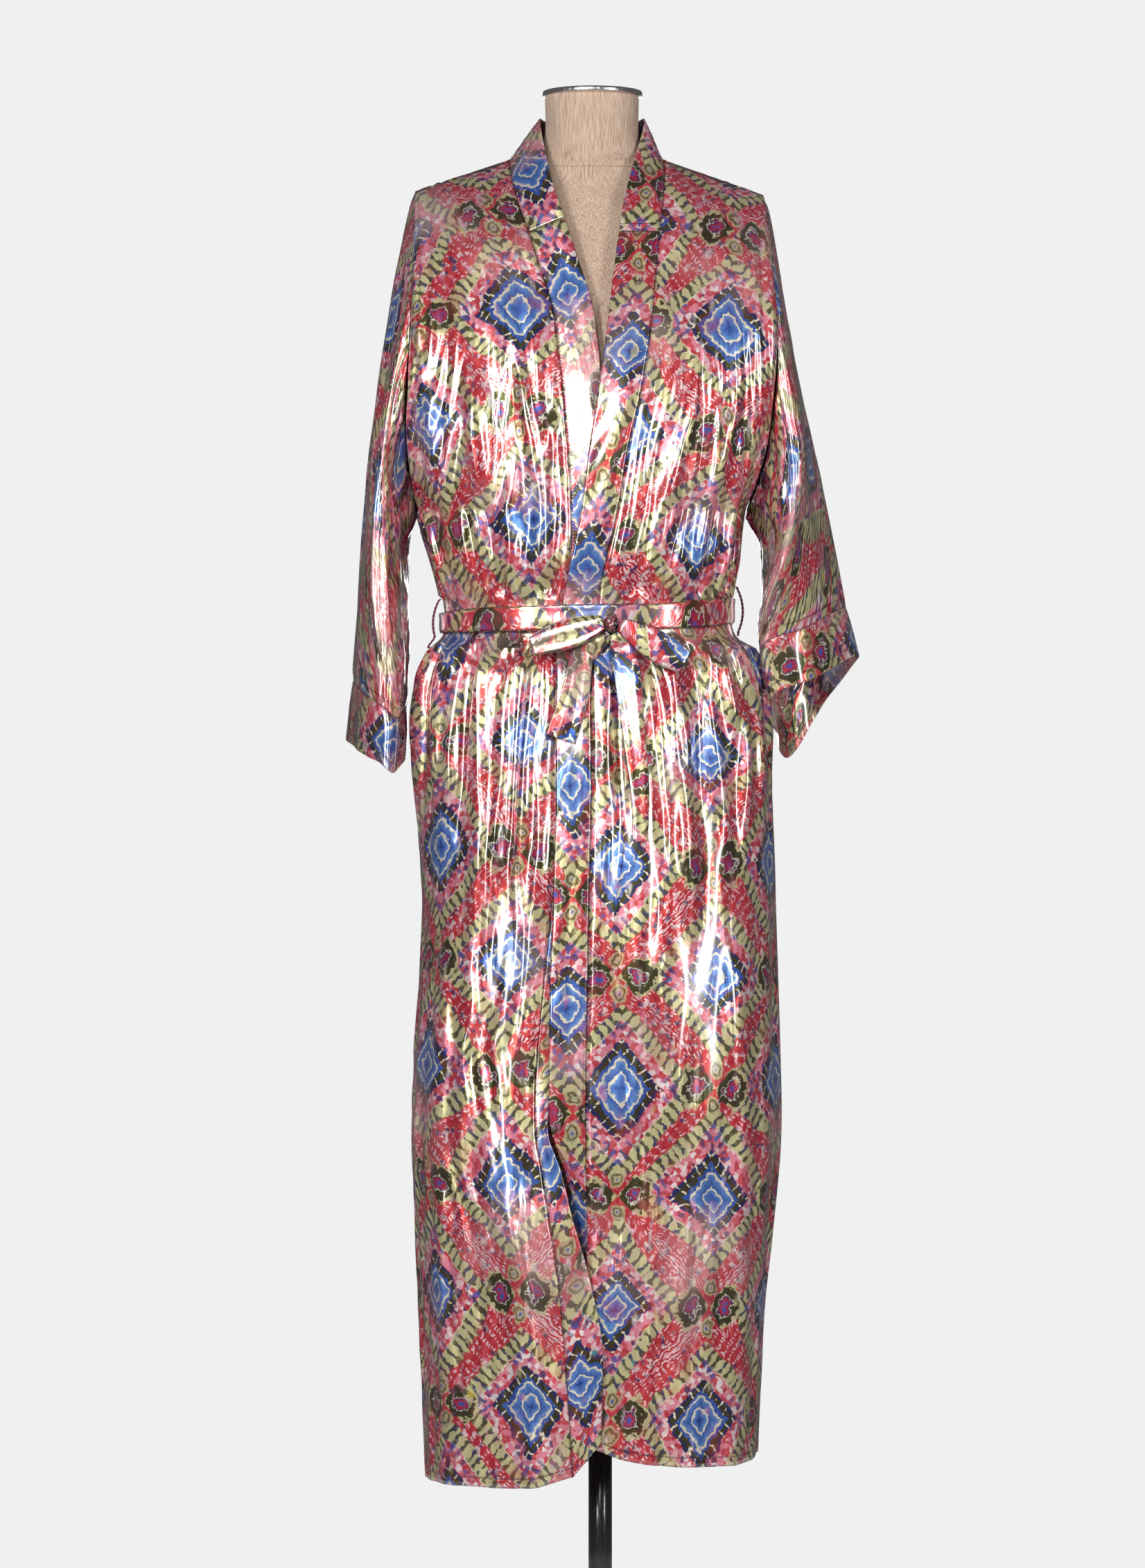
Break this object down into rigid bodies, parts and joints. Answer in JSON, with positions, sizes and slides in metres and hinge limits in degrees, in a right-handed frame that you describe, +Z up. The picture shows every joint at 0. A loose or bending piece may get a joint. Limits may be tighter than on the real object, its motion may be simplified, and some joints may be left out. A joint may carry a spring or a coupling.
{
  "type": "kimono robe on dress form",
  "caption": "Long kimono robe in foil-printed satin, tied with its own belt, on a limbless linen dress form with a chrome neck cap and a black pole stand.",
  "frame": {"origin": "centre of the underside of the stand's base, on the pole's axis", "axes": "+Z up along the pole, the robe's front faces -Y, +X is the wearer's left"},
  "size_m": [0.5398, 0.31, 1.75],
  "materials": {
    "satin": "foil-printed satin with a woven-in sheen",
    "satin_band": "foil-printed satin with a woven-in sheen",
    "linen": "matt linen with a vertical weave",
    "chrome": "polished",
    "steel": "satin",
    "black": "gloss",
    "knob": "gloss"
  },
  "bodies": {
    "stand": {"stand_base": "black", "pole_outer": "black"},
    "form": {"form_torso": "linen", "neck_cap": "chrome", "pole_inner": "steel", "back_panel": "satin", "front_right": "satin", "front_left": "satin", "band_neck": "satin_band", "band_right": "satin_band", "band_left": "satin_band", "sleeve_right": "satin", "sleeve_left": "satin", "cuff_right": "satin_band", "cuff_left": "satin_band", "belt": "satin_band", "belt_knot": "satin_band", "bow_loop_right": "satin_band", "bow_loop_left": "satin_band", "belt_tail_right": "satin_band", "belt_tail_left": "satin_band", "belt_loop_right": "satin", "belt_loop_left": "satin"},
    "clamp": {"clamp_knob": "knob"}
  },
  "joints": [
    {"name": "height_slide", "type": "slide", "parent": "stand", "child": "form", "axis": [0, 0, 1], "range_m": [0, 0.15]},
    {"name": "knob_turn", "type": "hinge", "parent": "stand", "child": "clamp", "pos_m": [-0.0127, 0, 0.306], "axis": [-1, 0, 0], "range_deg": [0, 180]}
  ]
}
